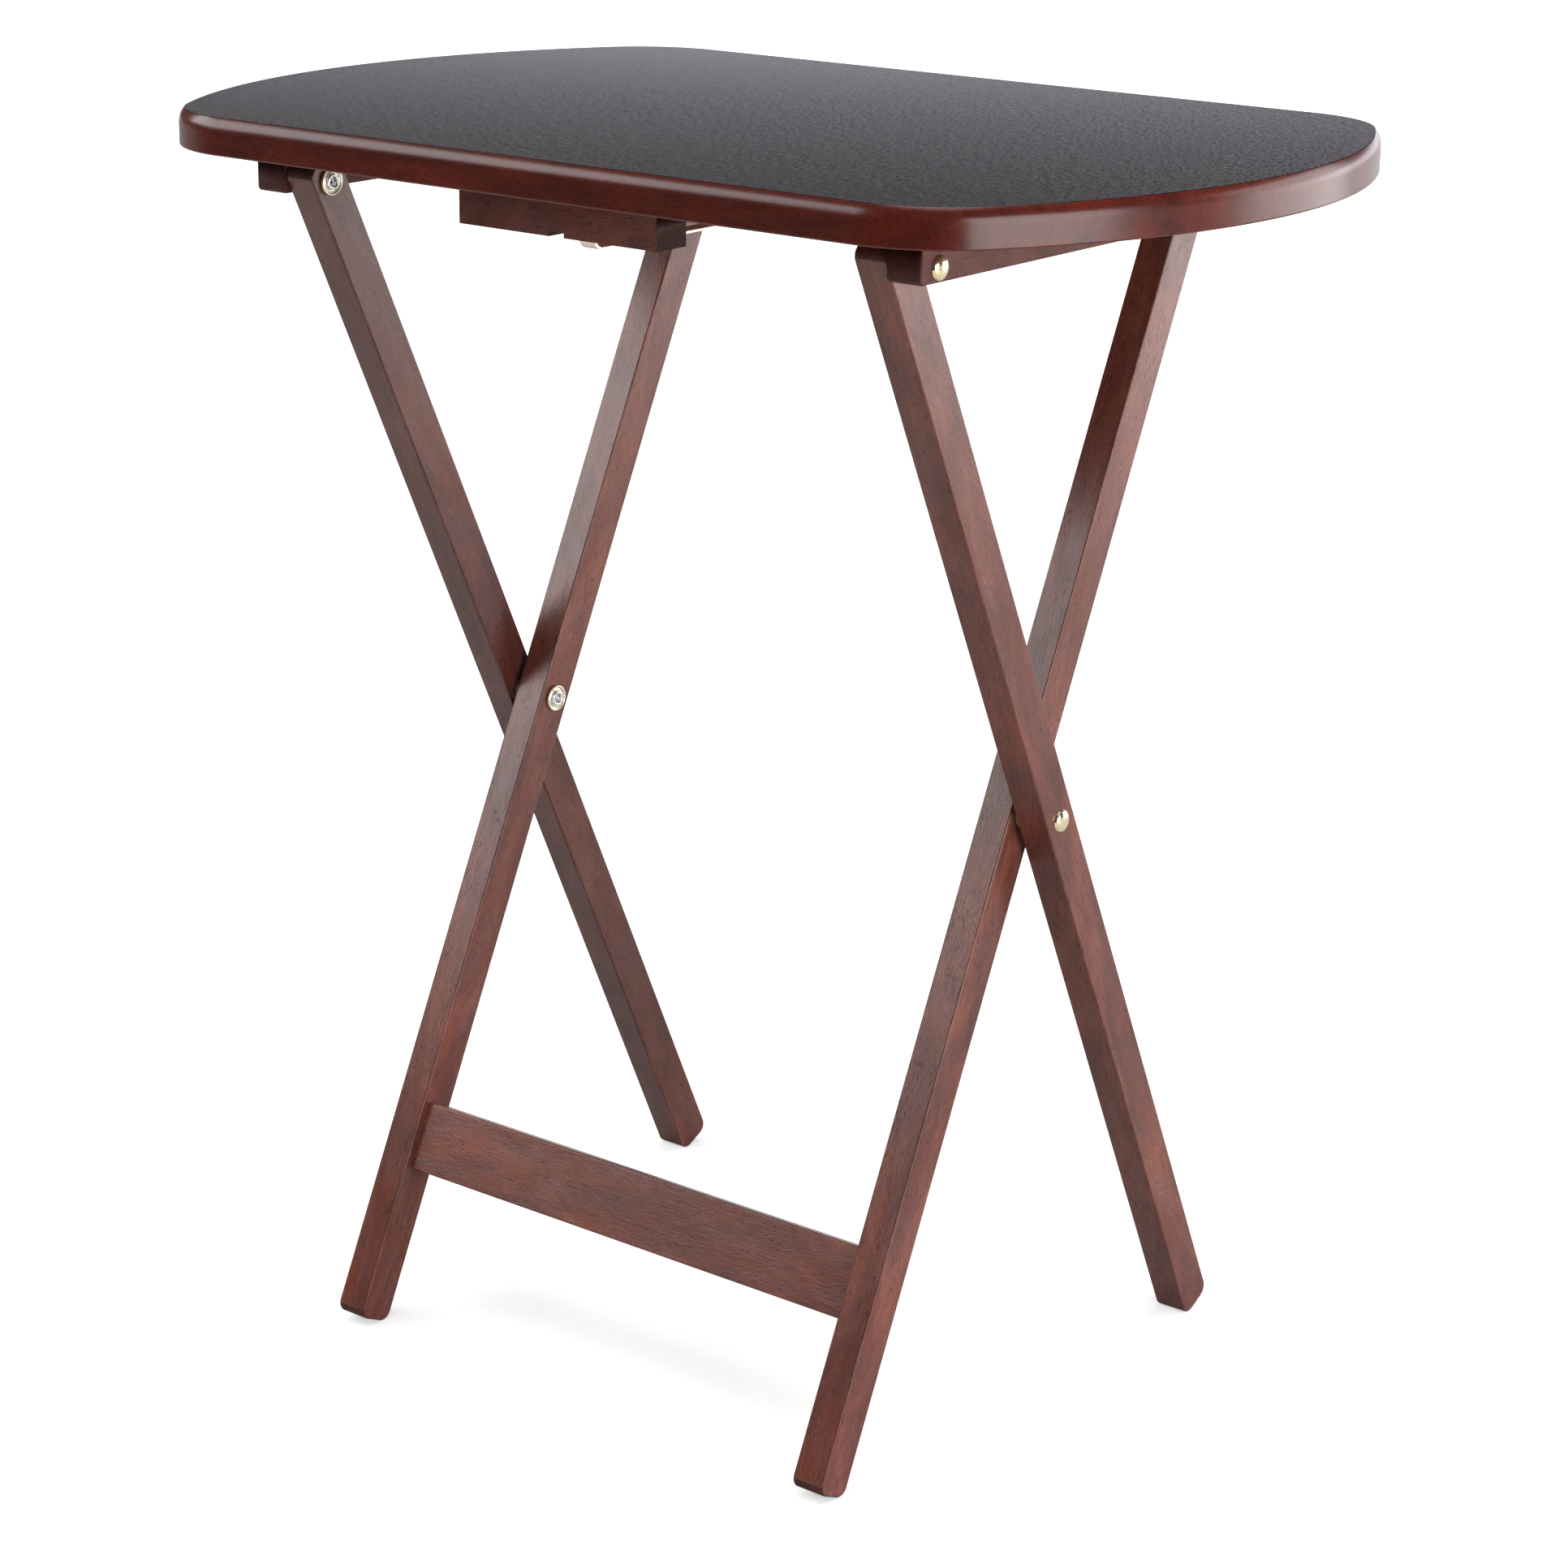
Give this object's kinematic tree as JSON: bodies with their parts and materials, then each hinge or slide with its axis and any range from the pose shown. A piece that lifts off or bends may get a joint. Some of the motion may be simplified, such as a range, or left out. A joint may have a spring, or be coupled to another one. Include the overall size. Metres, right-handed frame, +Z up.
{
  "type": "folding tray table",
  "caption": "Folding tray table: a rounded tray with bowed ends on two crossed leg pairs that fold like scissors, joined by a flat stretcher and captured by a metal guide strap.",
  "frame": {"origin": "on the floor, under the middle of the tray", "axes": "+Z up, +X to the right along the tray's length, -Y towards the tray's front edge"},
  "size_m": [0.605, 0.397, 0.66],
  "materials": {
    "tray_finish": "dark espresso top face with a satin lacquer, red-brown gloss edge",
    "stained_wood": "walnut stain under a semi-gloss lacquer",
    "bare_wood": "unfinished beech",
    "brass_plate": "bright brass plate",
    "plated_steel": "yellow zinc plate",
    "screw_steel": "zinc plate"
  },
  "bodies": {
    "outer_frame": {"outer_leg_left": "stained_wood", "outer_leg_right": "stained_wood", "cross_rivet_left": "brass_plate", "cross_rivet_right": "brass_plate", "cross_washer_left": "plated_steel", "cross_washer_right": "plated_steel", "spacer_left": "plated_steel", "spacer_right": "plated_steel"},
    "inner_frame": {"inner_leg_left": "stained_wood", "inner_leg_right": "stained_wood", "stretcher": "stained_wood", "stretcher_dowels": "bare_wood", "top_bar": "stained_wood"},
    "tray": {"tray_top": "tray_finish", "cleat_left": "stained_wood", "cleat_right": "stained_wood", "front_block": "stained_wood", "rear_block": "stained_wood", "guide_strap": "plated_steel", "strap_screws": "screw_steel", "cleat_screws": "screw_steel", "block_screws": "screw_steel", "pivot_rivet_left": "brass_plate", "pivot_rivet_right": "brass_plate", "pivot_washer_left": "plated_steel", "pivot_washer_right": "plated_steel"}
  },
  "joints": [
    {"name": "leg_fold", "type": "hinge", "parent": "outer_frame", "child": "inner_frame", "pos_m": [0, -0.0035, 0.32424], "axis": [1, 0, 0], "range_deg": [0, 49.2]},
    {"name": "tray_pivot", "type": "hinge", "parent": "outer_frame", "child": "tray", "pos_m": [0, -0.14655, 0.6255], "axis": [1, 0, 0], "range_deg": [0, 24.6]}
  ],
  "couplings": [
    {"joint": "tray_pivot", "follows": "leg_fold", "ratio": 0.5}
  ]
}
